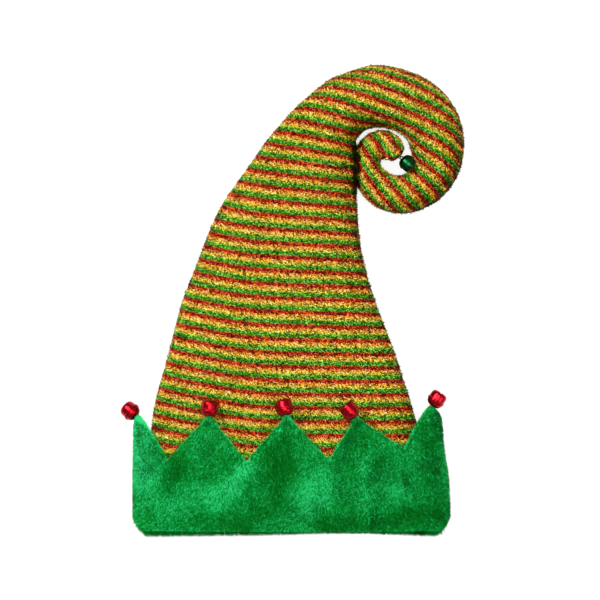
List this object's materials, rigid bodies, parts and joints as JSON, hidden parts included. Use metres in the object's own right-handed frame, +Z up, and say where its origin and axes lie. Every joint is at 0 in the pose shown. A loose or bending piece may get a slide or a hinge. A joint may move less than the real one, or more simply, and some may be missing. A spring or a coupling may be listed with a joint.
{
  "type": "elf hat",
  "caption": "Soft pointed hat lying flat, its striped crown curling over into a coil, with a plush cuff cut into points and a jingle bell on each point and on the tip.",
  "frame": {"origin": "middle of the bottom of the hat's box, on the surface that the hat lies on", "axes": "+Y from the rim to the top of the hat, +X to the right as the hat's front is seen, +Z up from the surface, out of the hat's front"},
  "size_m": [0.3172, 0.4368, 0.0768],
  "materials": {
    "striped_fabric": "glittery knit in red, gold and green stripes",
    "green_plush": "short green plush pile",
    "red_bell": "glossy red metallic lacquer",
    "green_bell": "glossy dark green metallic lacquer",
    "bell_pellet": "plain steel"
  },
  "bodies": {
    "root": {"crown": "striped_fabric", "cuff": "green_plush", "bell_left": "red_bell", "bell_front_left": "red_bell", "bell_front_middle": "red_bell", "bell_front_right": "red_bell", "bell_right": "red_bell", "bell_back_right": "red_bell", "bell_back_middle": "red_bell", "bell_back_left": "red_bell", "bell_tip": "green_bell", "pellet_left": "bell_pellet", "pellet_front_left": "bell_pellet", "pellet_front_middle": "bell_pellet", "pellet_front_right": "bell_pellet", "pellet_right": "bell_pellet", "pellet_back_right": "bell_pellet", "pellet_back_middle": "bell_pellet", "pellet_back_left": "bell_pellet", "pellet_tip": "bell_pellet"}
  },
  "joints": []
}
